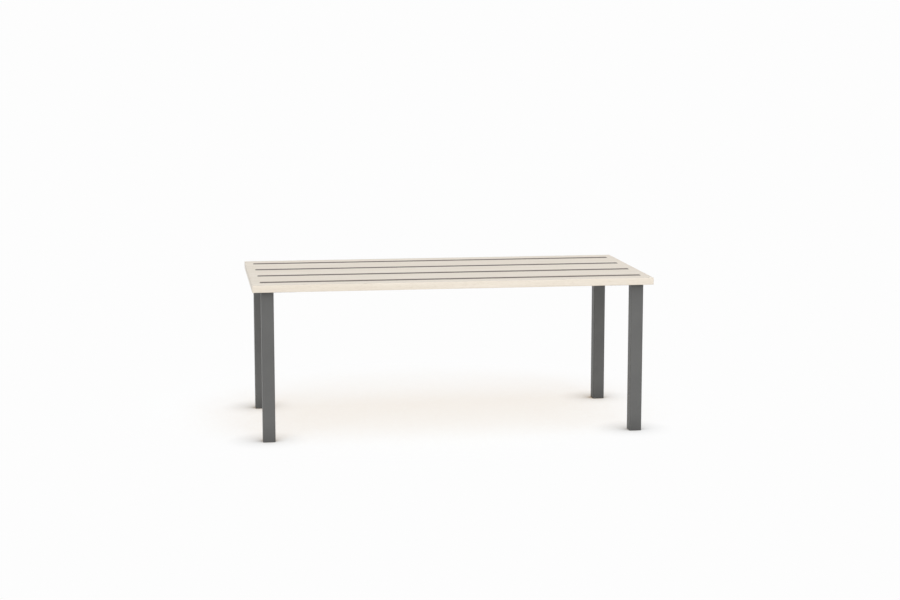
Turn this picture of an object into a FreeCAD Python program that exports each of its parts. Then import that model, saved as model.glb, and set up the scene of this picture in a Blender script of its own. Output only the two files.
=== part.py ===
import FreeCAD, Part
import math
import os

import Sketcher

# A free-standing luggage bench. A laminated board with four steel strips let into its face stands
# on four square tube legs. Each leg is welded to a plate, and the plate is held up against the board
# by three blunt-ended board screws. A ribbed glide closes each tube at the floor.
#
# Frame: +X along the bench, +Y from its front to its back, +Z up. The origin is on the floor,
# under the middle of the board. All sizes are in millimetres.

os.makedirs("parts", exist_ok=True)
doc = FreeCAD.newDocument("LuggageBench")

# ---------------------------------------------------------------- driving dimensions

DIMENSIONS = [
    # alias, size, what it is
    ("bench_length", 1145, "board, end to end"),
    ("bench_depth", 550, "board, front to back"),
    ("bench_height", 450, "floor to the luggage face"),
    ("core_thickness", 18, "board core"),
    ("laminate_thickness", 1, "face laminate and backing laminate, each"),
    ("band_thickness", 2, "edge band"),
    ("band_bevel", 0.8, "bevelled outer edges of the edge bands"),
    ("strip_width", 25, "luggage strip"),
    ("strip_thickness", 3, "luggage strip, and the depth of its groove"),
    ("strip_corner", 4, "corner radius of a luggage strip"),
    ("strip_end_inset", 24, "board end to strip end"),
    ("strip_side_inset", 52.5, "board front or back to the outer strip"),
    ("strip_count", 4, "number of luggage strips"),
    ("groove_gap", 0.2, "glue gap between a strip and its groove, each side"),
    ("leg_size", 35, "square leg tube, outside"),
    ("leg_wall", 2, "leg tube wall"),
    ("tube_corner", 2, "outside corner radius of the leg tube"),
    ("leg_end_inset", 25, "board end to leg"),
    ("leg_side_inset", 20, "board front or back to leg"),
    ("plate_size", 110, "square leg plate"),
    ("plate_thickness", 3, "leg plate"),
    ("plate_crop", 12, "cropped free corners of the leg plate"),
    ("weld_size", 3, "fillet weld, each leg of its section"),
    ("weld_start", 18, "outer face of the tube to the start of its weld"),
    ("hole_edge", 15, "far edge of the plate to the centre of a screw"),
    ("hole_setback", 32, "outer face of the tube to the centre of a screw beside it"),
    ("screw_diameter", 5, "board screw shank"),
    ("screw_length", 16, "board screw under its head"),
    ("head_flats", 8, "hexagon head, across flats"),
    ("head_height", 3.5, "hexagon head"),
    ("screw_gap", 0.3, "clearance between a screw and its plate hole, each side"),
    ("pilot_gap", 0.1, "clearance between a screw and its hole in the board, each side"),
    ("pilot_tip", 1, "clearance beyond a screw's end"),
    ("glide_flange", 3, "flange of the glide, under the tube"),
    ("glide_bevel", 1, "bevelled floor edge of the glide"),
    ("glide_wall", 2.5, "wall of the glide's plug"),
    ("plug_lead", 2, "plug of the glide above its last fin"),
    ("fin_reach", 2, "gripping fin of the glide, beyond its plug"),
    ("fin_thickness", 1.2, "gripping fin of the glide"),
    ("fin_pitch", 6, "fin to fin"),
    ("fin_count", 3, "number of fins"),
    ("fin_gap", 0.1, "clearance between a fin and the tube, each side"),
]

dims = doc.addObject("Spreadsheet::Sheet", "dims")
for row, (alias, size, meaning) in enumerate(DIMENSIONS, start=1):
    dims.set(f"A{row}", alias)
    dims.set(f"B{row}", str(size))
    dims.set(f"C{row}", meaning)
    dims.setAlias(f"B{row}", alias)
doc.recompute()

# Levels and places that several pieces share, as expressions on the sheet.
BOARD_THICKNESS = "(dims.core_thickness + 2 * dims.laminate_thickness)"
BOARD_BOTTOM = f"(dims.bench_height - {BOARD_THICKNESS})"
CORE_BOTTOM = f"({BOARD_BOTTOM} + dims.laminate_thickness)"
CORE_TOP = f"({CORE_BOTTOM} + dims.core_thickness)"
PLATE_BOTTOM = f"({BOARD_BOTTOM} - dims.plate_thickness)"
INNER_LENGTH = "(dims.bench_length - 2 * dims.band_thickness)"
INNER_DEPTH = "(dims.bench_depth - 2 * dims.band_thickness)"
STRIP_LENGTH = "(dims.bench_length - 2 * dims.strip_end_inset)"
OUTER_STRIP_Y = "(dims.bench_depth / 2 - dims.strip_side_inset - dims.strip_width / 2)"
STRIP_PITCH = f"(2 * {OUTER_STRIP_Y} / (dims.strip_count - 1))"
TUBE_LENGTH = f"({PLATE_BOTTOM} - dims.glide_flange)"
TUBE_INSIDE = "(dims.leg_size - 2 * dims.leg_wall)"
PILOT_RADIUS = "(dims.screw_diameter / 2 + dims.pilot_gap)"
PILOT_DEPTH = "(dims.screw_length - dims.plate_thickness + dims.pilot_tip)"
FIN_SIZE = f"({TUBE_INSIDE} - 2 * dims.fin_gap)"
PLUG_SIZE = f"({FIN_SIZE} - 2 * dims.fin_reach)"
PLUG_HEIGHT = "(dims.fin_count * dims.fin_pitch + dims.plug_lead)"

# Outer corner of a leg, from the middle of the bench.
CORNER_X = "(dims.bench_length / 2 - dims.leg_end_inset)"
CORNER_Y = "(dims.bench_depth / 2 - dims.leg_side_inset)"

# Corners of the bench, anticlockwise from above. What stands at a corner is drawn for the front
# left one, and makes a quarter turn for each corner further on.
CORNERS = ["front_left", "front_right", "back_right", "back_left"]

# Screws of one leg plate, from the leg's outer corner: one on each side of the tube, and one at the
# plate's far corner.
HOLE_NEAR = "dims.hole_setback"
HOLE_FAR = "(dims.plate_size - dims.hole_edge)"
SCREW_PLACES = [(HOLE_FAR, HOLE_NEAR), (HOLE_NEAR, HOLE_FAR), (HOLE_FAR, HOLE_FAR)]

# How a sketch's constraints name its own origin and axes.
SKETCH_ORIGIN = (-1, 1)
LEVEL_AND_UPRIGHT_AXES = (-1, -2)

UP = FreeCAD.Vector(0, 0, 1)
QUARTER_TURN = math.pi / 2
NEAR = 1e-6
nodes = []


# ---------------------------------------------------------------- bodies and sketches

def value(expression):
    """The number that an expression on the sheet gives now."""
    return float(dims.evalExpression(expression))


def bind(thing, **expressions):
    """Ties properties of a feature to expressions on the sheet."""
    for name, expression in expressions.items():
        thing.setExpression(name, expression)


def new_body(label, is_node=True):
    body = doc.addObject("PartDesign::Body", label)
    body.Label = label
    if is_node:
        nodes.append(body)
    return body


def origin_part(body, role):
    """An origin plane or axis of a body, by its role."""
    return next(part for part in body.Origin.OriginFeatures if part.Role == role)


def new_sketch(body, name, plane="XY_Plane", x="0", y="0", z="0"):
    """A sketch on an origin plane, its own origin moved by x, y and z in the plane's axes."""
    sketch = body.newObject("Sketcher::SketchObject", name)
    sketch.AttachmentSupport = [(origin_part(body, plane), "")]
    sketch.MapMode = "FlatFace"
    sketch.setExpression("AttachmentOffset.Base.x", x)
    sketch.setExpression("AttachmentOffset.Base.y", y)
    sketch.setExpression("AttachmentOffset.Base.z", z)
    return sketch


def constrain(sketch, kind, *where, size=None):
    """Adds a constraint, and ties it to an expression where it has a size."""
    if size is None:
        sketch.addConstraint(Sketcher.Constraint(kind, *where))
        return
    index = sketch.addConstraint(Sketcher.Constraint(kind, *where, value(size)))
    sketch.setExpression(f"Constraints[{index}]", size)


def draw_line(sketch, start, end):
    return sketch.addGeometry(Part.LineSegment(start, end), False)


def draw_arc(sketch, centre, radius, start_angle):
    """A quarter of a circle, anticlockwise from an angle."""
    circle = Part.Circle(centre, UP, radius)
    return sketch.addGeometry(Part.ArcOfCircle(circle, start_angle, start_angle + QUARTER_TURN), False)


def draw_rectangle(sketch, width, depth):
    """A rectangle about the sketch's origin."""
    half_x = value(width) / 2
    half_y = value(depth) / 2
    signs = [(-1, -1), (1, -1), (1, 1), (-1, 1)]
    points = [FreeCAD.Vector(sx * half_x, sy * half_y, 0) for sx, sy in signs]
    sides = [draw_line(sketch, points[i], points[(i + 1) % 4]) for i in range(4)]
    for i in range(4):
        constrain(sketch, "Coincident", sides[i], 2, sides[(i + 1) % 4], 1)
        constrain(sketch, "Horizontal" if i % 2 == 0 else "Vertical", sides[i])
    constrain(sketch, "Symmetric", sides[0], 1, sides[2], 1, *SKETCH_ORIGIN)
    constrain(sketch, "DistanceX", sides[0], 1, sides[0], 2, size=width)
    constrain(sketch, "DistanceY", sides[1], 1, sides[1], 2, size=depth)


def draw_rounded_rectangle(sketch, width, depth, radius):
    """A rectangle about the sketch's origin, with an arc tangent to its sides at each corner."""
    bend = value(radius)
    reach_x = value(width) / 2 - bend
    reach_y = value(depth) / 2 - bend
    arcs = []
    for i, (sx, sy) in enumerate([(1, -1), (1, 1), (-1, 1), (-1, -1)]):
        centre = FreeCAD.Vector(sx * reach_x, sy * reach_y, 0)
        arcs.append(draw_arc(sketch, centre, bend, (i - 1) * QUARTER_TURN))
    drawn = [sketch.Geometry[arc] for arc in arcs]
    sides = [draw_line(sketch, drawn[i - 1].EndPoint, drawn[i].StartPoint) for i in range(4)]
    for i in range(4):
        constrain(sketch, "Tangent", sides[i], 2, arcs[i], 1)
        constrain(sketch, "Tangent", arcs[i], 2, sides[(i + 1) % 4], 1)
        constrain(sketch, "Horizontal" if i % 2 == 0 else "Vertical", sides[i])
    for arc in arcs[1:]:
        constrain(sketch, "Equal", arcs[0], arc)
    constrain(sketch, "Symmetric", arcs[0], 3, arcs[2], 3, *SKETCH_ORIGIN)
    constrain(sketch, "Radius", arcs[0], size=radius)
    constrain(sketch, "DistanceX", sides[3], 1, sides[1], 1, size=width)
    constrain(sketch, "DistanceY", sides[0], 1, sides[2], 1, size=depth)


def place_point(sketch, geometry, end, x, y):
    """Holds a point of the sketch at x and y from its origin, or on an axis where one is 0."""
    level_axis, upright_axis = LEVEL_AND_UPRIGHT_AXES
    if x == "0":
        constrain(sketch, "PointOnObject", geometry, end, upright_axis)
    else:
        constrain(sketch, "DistanceX", *SKETCH_ORIGIN, geometry, end, size=x)
    if y == "0":
        constrain(sketch, "PointOnObject", geometry, end, level_axis)
    else:
        constrain(sketch, "DistanceY", *SKETCH_ORIGIN, geometry, end, size=y)


def draw_profile(sketch, places):
    """A closed outline with straight sides through places given as pairs of expressions."""
    points = [FreeCAD.Vector(value(x), value(y), 0) for x, y in places]
    count = len(points)
    sides = [draw_line(sketch, points[i], points[(i + 1) % count]) for i in range(count)]
    for i, (x, y) in enumerate(places):
        constrain(sketch, "Coincident", sides[i - 1], 2, sides[i], 1)
        place_point(sketch, sides[i], 1, x, y)


def draw_screw_holes(sketch, radius):
    """A circle at each screw place of one leg plate."""
    for x, y in SCREW_PLACES:
        centre = FreeCAD.Vector(value(x), value(y), 0)
        circle = sketch.addGeometry(Part.Circle(centre, UP, value(radius)), False)
        constrain(sketch, "Radius", circle, size=radius)
        place_point(sketch, circle, 3, x, y)


# ---------------------------------------------------------------- features

def pad(body, sketch, length):
    feature = body.newObject("PartDesign::Pad", f"{sketch.Name}_pad")
    feature.Profile = sketch
    bind(feature, Length=length)
    doc.recompute()
    return feature


def check_cut(body, before, name):
    """Stops when a cut has taken nothing off its body."""
    if body.Shape.Volume > before - NEAR:
        raise RuntimeError(f"{body.Label}: {name} cuts nothing")


def pocket(body, sketch, depth, upwards=False):
    """Cuts down from the sketch, or up from it."""
    before = body.Shape.Volume
    feature = body.newObject("PartDesign::Pocket", f"{sketch.Name}_cut")
    feature.Profile = sketch
    feature.Reversed = upwards
    bind(feature, Length=depth)
    doc.recompute()
    check_cut(body, before, feature.Name)
    return feature


def repeat(body, feature, axis, count, pitch):
    """Repeats a feature along an axis of its body, at one pitch."""
    pattern = body.newObject("PartDesign::LinearPattern", f"{feature.Name}_row")
    pattern.Originals = [feature]
    pattern.Direction = (origin_part(body, axis), [""])
    bind(pattern, Length=f"({count} - 1) * {pitch}", Occurrences=count)
    body.Tip = pattern
    doc.recompute()
    return pattern


def repeat_at_corners(body, feature):
    """Mirrors a feature of the front left corner to the other three."""
    mirrors = []
    for plane in ("YZ_Plane", "XZ_Plane"):
        mirror = body.newObject("PartDesign::Mirrored", f"{feature.Name}_{plane}")
        mirror.MirrorPlane = (origin_part(body, plane), [""])
        mirrors.append(mirror)
    pattern = body.newObject("PartDesign::MultiTransform", f"{feature.Name}_corners")
    pattern.Originals = [feature]
    pattern.Transformations = mirrors
    body.Tip = pattern
    doc.recompute()
    return pattern


def bevel(body, name, size, wanted):
    """A chamfer on the edges of a body that a test picks by where they lie."""
    base = body.Tip
    edges = [
        f"Edge{i}" for i, edge in enumerate(base.Shape.Edges, start=1) if wanted(edge.BoundBox)
    ]
    feature = body.newObject("PartDesign::Chamfer", name)
    feature.Base = (base, edges)
    bind(feature, Size=size)
    doc.recompute()
    return feature


def is_level_at(box, height):
    return abs(box.ZMin - height) < NEAR and abs(box.ZMax - height) < NEAR


def is_upright(box):
    return box.ZLength > NEAR and box.XLength < NEAR and box.YLength < NEAR


def stand_at_corner(node, corner):
    """Puts a node drawn from a leg's outer corner at one corner of the bench."""
    side_x = 1 if corner.endswith("right") else -1
    side_y = 1 if corner.startswith("back") else -1
    turn = FreeCAD.Rotation(UP, CORNERS.index(corner) * 90)
    node.Placement = FreeCAD.Placement(FreeCAD.Vector(), turn)
    node.setExpression("Placement.Base.x", f"{side_x} * {CORNER_X}")
    node.setExpression("Placement.Base.y", f"{side_y} * {CORNER_Y}")


# ---------------------------------------------------------------- board

def board_layer(label, bottom, thickness):
    """A flat layer of the board, inside the edge bands."""
    body = new_body(label)
    outline = new_sketch(body, f"{label}_outline", z=bottom)
    draw_rectangle(outline, INNER_LENGTH, INNER_DEPTH)
    pad(body, outline, thickness)
    return body


def cut_strip_grooves(body, top, depth):
    """Cuts the luggage strips' round-cornered grooves down into a layer of the board."""
    groove = new_sketch(body, f"{body.Name}_groove", y=f"-{OUTER_STRIP_Y}", z=top)
    draw_rounded_rectangle(
        groove,
        f"{STRIP_LENGTH} + 2 * dims.groove_gap",
        "dims.strip_width + 2 * dims.groove_gap",
        "dims.strip_corner + dims.groove_gap",
    )
    repeat(body, pocket(body, groove, depth), "Y_Axis", "dims.strip_count", STRIP_PITCH)


def drill_pilot_holes(body, bottom, depth):
    """Cuts the holes of the leg screws up into a layer of the board."""
    holes = new_sketch(body, f"{body.Name}_pilots", x=f"-{CORNER_X}", y=f"-{CORNER_Y}", z=bottom)
    draw_screw_holes(holes, PILOT_RADIUS)
    repeat_at_corners(body, pocket(body, holes, depth, upwards=True))


def shows_at_rim(box):
    """True for an edge at the board's rim: level and on one side of it, or on two sides."""
    half_length = value("dims.bench_length / 2")
    half_depth = value("dims.bench_depth / 2")
    on_end = box.XLength < NEAR and abs(abs(box.XMin) - half_length) < NEAR
    on_side = box.YLength < NEAR and abs(abs(box.YMin) - half_depth) < NEAR
    return (on_end and on_side) or ((on_end or on_side) and box.ZLength < NEAR)


def edge_band(label, length, depth, x, y):
    body = new_body(label)
    outline = new_sketch(body, f"{label}_outline", x=x, y=y, z=BOARD_BOTTOM)
    draw_rectangle(outline, length, depth)
    pad(body, outline, BOARD_THICKNESS)
    bevel(body, f"{label}_bevel", "dims.band_bevel", shows_at_rim)


core = board_layer("panel_core", CORE_BOTTOM, "dims.core_thickness")
cut_strip_grooves(core, CORE_TOP, "dims.strip_thickness - dims.laminate_thickness")
drill_pilot_holes(core, CORE_BOTTOM, f"{PILOT_DEPTH} - dims.laminate_thickness")

face = board_layer("top_laminate", CORE_TOP, "dims.laminate_thickness")
cut_strip_grooves(face, "dims.bench_height", "dims.laminate_thickness")

backing = board_layer("backing_laminate", BOARD_BOTTOM, "dims.laminate_thickness")
drill_pilot_holes(backing, BOARD_BOTTOM, "dims.laminate_thickness")

# The front and back bands run the full length and cover the ends of the two short ones.
for name, side in (("front", -1), ("back", 1)):
    middle = f"{side} * (dims.bench_depth - dims.band_thickness) / 2"
    edge_band(f"edge_band_{name}", "dims.bench_length", "dims.band_thickness", "0", middle)
for name, side in (("left", -1), ("right", 1)):
    middle = f"{side} * (dims.bench_length - dims.band_thickness) / 2"
    edge_band(f"edge_band_{name}", "dims.band_thickness", INNER_DEPTH, middle, "0")


# ---------------------------------------------------------------- luggage strips

def luggage_strip(number):
    """A flat bar let into the board flush with its face. Number 1 is the front one."""
    body = new_body(f"luggage_strip_{number}")
    outline = new_sketch(
        body,
        f"strip_{number}_outline",
        y=f"{number - 1} * {STRIP_PITCH} - {OUTER_STRIP_Y}",
        z="dims.bench_height - dims.strip_thickness",
    )
    draw_rounded_rectangle(outline, STRIP_LENGTH, "dims.strip_width", "dims.strip_corner")
    pad(body, outline, "dims.strip_thickness")


for number in range(1, int(value("dims.strip_count")) + 1):
    luggage_strip(number)


# ---------------------------------------------------------------- legs

def leg_tube(corner):
    body = new_body(f"leg_tube_{corner}")
    middle = "dims.leg_size / 2"
    section = new_sketch(body, f"tube_{corner}_section", x=middle, y=middle, z="dims.glide_flange")
    draw_rounded_rectangle(section, "dims.leg_size", "dims.leg_size", "dims.tube_corner")
    draw_rectangle(section, TUBE_INSIDE, TUBE_INSIDE)
    pad(body, section, TUBE_LENGTH)
    stand_at_corner(body, corner)


def leg_plate(corner):
    """A square plate with cropped corners, the one at the tube's outer corner as small as its bend."""
    body = new_body(f"leg_plate_{corner}")
    name = f"plate_{corner}"
    middle = "dims.plate_size / 2"
    outline = new_sketch(body, f"{name}_outline", x=middle, y=middle, z=PLATE_BOTTOM)
    draw_rectangle(outline, "dims.plate_size", "dims.plate_size")
    pad(body, outline, "dims.plate_thickness")
    far = value("dims.plate_size") - NEAR
    bevel(
        body,
        f"{name}_free_corners",
        "dims.plate_crop",
        lambda box: is_upright(box) and max(box.XMin, box.YMin) > far,
    )
    bevel(
        body,
        f"{name}_tube_corner",
        "dims.tube_corner",
        lambda box: is_upright(box) and max(box.XMax, box.YMax) < NEAR,
    )
    holes = new_sketch(body, f"{name}_holes", z=PLATE_BOTTOM)
    draw_screw_holes(holes, "dims.screw_diameter / 2 + dims.screw_gap")
    pocket(body, holes, "dims.plate_thickness", upwards=True)
    stand_at_corner(body, corner)


def leg_weld(corner):
    """A fillet weld under the plate, round the tube's inner corner and partly along its faces."""
    body = new_body(f"leg_weld_{corner}")
    face = value("dims.leg_size")
    bend = value("dims.tube_corner")
    start = value("dims.weld_start")
    centre = FreeCAD.Vector(face - bend, face - bend, 0)
    path = new_sketch(body, f"weld_{corner}_path", z=PLATE_BOTTOM)
    first = draw_line(path, FreeCAD.Vector(face, start, 0), FreeCAD.Vector(face, centre.y, 0))
    turn = draw_arc(path, centre, bend, 0)
    last = draw_line(path, FreeCAD.Vector(centre.x, face, 0), FreeCAD.Vector(start, face, 0))
    constrain(path, "Tangent", first, 2, turn, 1)
    constrain(path, "Tangent", turn, 2, last, 1)
    constrain(path, "Vertical", first)
    constrain(path, "Horizontal", last)
    constrain(path, "Radius", turn, size="dims.tube_corner")
    place_point(path, first, 1, "dims.leg_size", "dims.weld_start")
    place_point(path, last, 2, "dims.weld_start", "dims.leg_size")

    # The section's right angle lies where the tube's face meets the plate.
    section = new_sketch(
        body,
        f"weld_{corner}_section",
        plane="XZ_Plane",
        x="dims.leg_size",
        y=PLATE_BOTTOM,
        z="-dims.weld_start",
    )
    draw_profile(section, [("0", "0"), ("0", "-dims.weld_size"), ("dims.weld_size", "0")])
    doc.recompute()
    bead = body.newObject("PartDesign::AdditivePipe", f"weld_{corner}_bead")
    bead.Profile = (section, [""])
    bead.Spine = (path, ["Edge1", "Edge2", "Edge3"])
    doc.recompute()
    stand_at_corner(body, corner)


def leg_glide(corner):
    """A flange under the tube's end, and a hollow plug whose fins grip the tube's inside."""
    body = new_body(f"leg_glide_{corner}")
    name = f"glide_{corner}"
    middle = "dims.leg_size / 2"
    flange = new_sketch(body, f"{name}_flange", x=middle, y=middle)
    draw_rounded_rectangle(flange, "dims.leg_size", "dims.leg_size", "dims.tube_corner")
    pad(body, flange, "dims.glide_flange")
    bevel(body, f"{name}_bevel", "dims.glide_bevel", lambda box: is_level_at(box, 0))

    plug = new_sketch(body, f"{name}_plug", x=middle, y=middle, z="dims.glide_flange")
    draw_rectangle(plug, PLUG_SIZE, PLUG_SIZE)
    pad(body, plug, PLUG_HEIGHT)

    first_fin = "dims.glide_flange + dims.fin_pitch - dims.fin_thickness"
    fin = new_sketch(body, f"{name}_fin", x=middle, y=middle, z=first_fin)
    draw_rectangle(fin, FIN_SIZE, FIN_SIZE)
    repeat(body, pad(body, fin, "dims.fin_thickness"), "Z_Axis", "dims.fin_count", "dims.fin_pitch")

    mouth = f"dims.glide_flange + {PLUG_HEIGHT}"
    hollow = new_sketch(body, f"{name}_hollow", x=middle, y=middle, z=mouth)
    hollow_size = f"{PLUG_SIZE} - 2 * dims.glide_wall"
    draw_rectangle(hollow, hollow_size, hollow_size)
    pocket(body, hollow, PLUG_HEIGHT)
    stand_at_corner(body, corner)


# ---------------------------------------------------------------- fasteners

def board_screw():
    """A blunt-ended screw standing on its hexagon head, with the seat of the head at z = 0."""
    body = new_body("board_screw", is_node=False)
    head = body.newObject("PartDesign::AdditivePrism", "screw_head")
    head.Polygon = 6
    bind(head, Circumradius="dims.head_flats / 2 / cos(30 deg)", Height="dims.head_height")
    shank = body.newObject("PartDesign::AdditiveCylinder", "screw_shank")
    bind(shank, Radius="dims.screw_diameter / 2", Height="dims.screw_length")
    for feature, base in ((head, "-dims.head_height"), (shank, "0")):
        feature.AttachmentSupport = [(origin_part(body, "XY_Plane"), "")]
        feature.MapMode = "FlatFace"
        feature.setExpression("AttachmentOffset.Base.z", base)
    return body


def fastener_group(label, fastener, height, corner):
    """One fastener at each screw place of a corner, as separate solids in one node."""
    members = []
    for number, (x, y) in enumerate(SCREW_PLACES, start=1):
        link = doc.addObject("App::Link", f"{label}_{number}")
        link.LinkedObject = fastener
        link.setExpression("Placement.Base.x", x)
        link.setExpression("Placement.Base.y", y)
        link.setExpression("Placement.Base.z", height)
        members.append(link)
    group = doc.addObject("Part::Compound", label)
    group.Label = label
    group.Links = members
    stand_at_corner(group, corner)
    nodes.append(group)


screw = board_screw()
for corner in CORNERS:
    leg_tube(corner)
    leg_plate(corner)
    leg_weld(corner)
    leg_glide(corner)
    fastener_group(f"leg_screws_{corner}", screw, PLATE_BOTTOM, corner)

# ---------------------------------------------------------------- check and write

doc.recompute()
for thing in doc.Objects:
    if {"Invalid", "Error"} & set(thing.State):
        raise RuntimeError(f"{thing.Label} failed: {thing.State}")
for node in nodes:
    if node.Shape.isNull() or not node.Shape.isValid() or not node.Shape.Solids:
        raise RuntimeError(f"{node.Label} has no valid solid")
for node in nodes:
    node.Shape.exportStep(f"parts/{node.Label}.step")
    print(f"{node.Label}: {len(node.Shape.Solids)} solid(s), {node.Shape.Volume / 1000:.2f} cm3")
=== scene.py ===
# %% [markdown]
# # A hotel luggage bench
#
# The bench comes from a CAD model: a laminated board with four dark steel strips let into its
# face, on four square tube legs. This lesson gives every piece its finish. It also makes the
# small forms that the CAD model leaves plain: rounded edges, weld ripples and screw threads.
# Everything is in metres, with +X along the bench, +Y from front to back, and the floor at z = 0.

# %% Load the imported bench
import math

import bmesh
import bpy
import numpy as np
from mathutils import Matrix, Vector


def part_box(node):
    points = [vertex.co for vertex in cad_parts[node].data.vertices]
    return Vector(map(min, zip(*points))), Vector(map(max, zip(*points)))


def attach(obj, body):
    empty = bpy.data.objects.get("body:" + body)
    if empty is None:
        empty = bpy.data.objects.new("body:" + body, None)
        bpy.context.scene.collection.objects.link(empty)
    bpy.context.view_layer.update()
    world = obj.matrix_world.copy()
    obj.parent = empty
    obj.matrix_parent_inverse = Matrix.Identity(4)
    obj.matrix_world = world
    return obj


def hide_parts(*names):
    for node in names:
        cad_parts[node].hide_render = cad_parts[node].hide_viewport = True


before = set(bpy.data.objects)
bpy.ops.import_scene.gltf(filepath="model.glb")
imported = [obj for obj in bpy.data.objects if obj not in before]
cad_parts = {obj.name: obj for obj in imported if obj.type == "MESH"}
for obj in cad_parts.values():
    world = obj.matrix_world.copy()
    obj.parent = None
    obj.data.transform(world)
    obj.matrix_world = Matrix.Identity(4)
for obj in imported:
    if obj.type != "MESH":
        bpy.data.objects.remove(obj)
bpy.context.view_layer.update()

MM = 0.001
BODY = "root"

# %% [markdown]
# ## Camera
#
# A long lens from some five metres away keeps the legs nearly upright. The camera stands to the
# left of the bench's middle and a little above it, so the face shows as a narrow slanted band.
# A constraint could aim it at a target. Two plain angles do the same, and each can be changed by
# itself: how far it looks down, and how far to the right.

# %% Place the camera
LENS = 73.933  # millimetres, as is the sensor's width
SENSOR = 36.0
CAMERA_PLACE = (-0.7801, -5.3778, 1.1581)
CAMERA_DOWN = math.radians(8.3775)
CAMERA_RIGHT = math.radians(8.4965)

camera_data = bpy.data.cameras.new("camera")
camera_data.lens = LENS
camera_data.sensor_width = SENSOR
camera = bpy.data.objects.new("camera", camera_data)
camera.location = CAMERA_PLACE
camera.rotation_euler = (math.pi / 2 - CAMERA_DOWN, 0, -CAMERA_RIGHT)
bpy.context.scene.collection.objects.link(camera)
bpy.context.scene.camera = camera
bpy.context.scene.view_settings.view_transform = "Standard"
print("camera height, m:", CAMERA_PLACE[2])

# %% [markdown]
# ## Node helpers
#
# A finish is a small graph of nodes. It could be drawn by hand in the shader editor. Written
# down, it reads from top to bottom, and the finishes can share their steps. One helper adds a
# node and fills its inputs with numbers or links, and another starts a material with its shader.

# %% Helpers for nodes
def add_node(tree, kind, inputs=(), **options):
    """Adds a node. An input is a number, a colour or another node's output."""
    made = tree.nodes.new(kind)
    for name, option in options.items():
        setattr(made, name, option)
    for name, value in dict(inputs).items():
        if isinstance(value, bpy.types.NodeSocket):
            tree.links.new(value, made.inputs[name])
        else:
            made.inputs[name].default_value = value
    return made


def start_finish(name):
    """A material with a Principled shader, and the object's own coordinates in metres."""
    finish = bpy.data.materials.new(name)
    finish.use_nodes = True
    tree = finish.node_tree
    shader = tree.nodes["Principled BSDF"]
    place = tree.nodes.new("ShaderNodeTexCoord").outputs["Object"]
    return finish, tree, shader, place


print("node helpers:", add_node.__name__, start_finish.__name__)

# %% Helpers for sums
def math_node(tree, operation, first, second=0.0):
    """One step of arithmetic on two numbers."""
    made = add_node(tree, "ShaderNodeMath", {0: first, 1: second}, operation=operation)
    return made.outputs[0]


def vector_node(tree, operation, first, second=(0, 0, 0)):
    """One step of arithmetic on two places or colours, axis by axis. A length is a number."""
    made = add_node(tree, "ShaderNodeVectorMath", {0: first, 1: second}, operation=operation)
    return made.outputs["Value" if operation == "LENGTH" else "Vector"]


def weighted(tree, first, second, share):
    """A sum of two patterns: the first times the share, and the second times what is left."""
    part = math_node(tree, "MULTIPLY", first, share)
    rest = math_node(tree, "MULTIPLY", second, 1 - share)
    return math_node(tree, "ADD", part, rest)


def remap(tree, value, low, high, to_low=0.0, to_high=1.0):
    """Carries a value from one range to another, and holds it inside."""
    inputs = {
        "Value": value,
        "From Min": low,
        "From Max": high,
        "To Min": to_low,
        "To Max": to_high,
    }
    return add_node(tree, "ShaderNodeMapRange", inputs).outputs["Result"]


print("helpers for sums:", math_node.__name__, vector_node.__name__, weighted.__name__)

# %% Helpers for patterns, colour, gloss and relief
NOISE_SPAN = (0.30, 0.70)  # noise runs from 0 to 1, but seldom leaves this part
TONE_SPAN = (0.35, 0.65)  # a narrower part, so that more of the surface has a full tone


def stretched(tree, place, per_metre):
    """Coordinates scaled so that a pattern repeats that many times a metre along X, Y and Z."""
    inputs = {"Vector": place, "Scale": per_metre}
    return add_node(tree, "ShaderNodeMapping", inputs).outputs["Vector"]


def noise(tree, place, per_metre, detail, roughness, distortion=0.0):
    """Noise that changes about that many times a metre along X, Y and Z."""
    inputs = {
        "Vector": stretched(tree, place, per_metre),
        "Scale": 1.0,
        "Detail": detail,
        "Roughness": roughness,
        "Distortion": distortion,
    }
    return add_node(tree, "ShaderNodeTexNoise", inputs).outputs["Fac"]


def blend_colours(tree, share, first, second):
    """Goes from the first colour to the second as the share goes from 0 to 1. A Mix node also
    has sockets for numbers and vectors, so its colours are inputs 6 and 7, and output 2."""
    made = add_node(tree, "ShaderNodeMix", {0: share, 6: first, 7: second}, data_type="RGBA")
    return made.outputs[2]


def two_tones(tree, pattern, span, dark, pale):
    """Goes from the dark colour to the pale one as the pattern crosses the span."""
    return blend_colours(tree, remap(tree, pattern, *span), dark, pale)


def vary_roughness(tree, shader, pattern, span, rough):
    """Goes from one roughness to the other as the pattern crosses the span."""
    tree.links.new(remap(tree, pattern, *span, *rough), shader.inputs["Roughness"])


def raise_surface(tree, shader, height, distance, strength):
    """Bump: a height from 0 to 1 stands up to that distance off the surface."""
    inputs = {"Height": height, "Distance": distance, "Strength": strength}
    bump = add_node(tree, "ShaderNodeBump", inputs)
    tree.links.new(bump.outputs["Normal"], shader.inputs["Normal"])


print("a noise seldom leaves:", NOISE_SPAN)

# %% [markdown]
# ## Maple-look laminate
#
# The board's face is a printed sheet: pale maple with soft growth lines, fine fibres and short
# flecks, all along the bench. A picture of veneer could be laid on it. Noise needs no picture
# and never repeats. Three noises give the print, each drawn out along the grain to between 15
# and 80 times its width. The sheet is satin, with a very shallow grain. The edge bands have the
# same print, each along its own length. Glue shows as a hair-thin line where a band meets the
# sheet.

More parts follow.
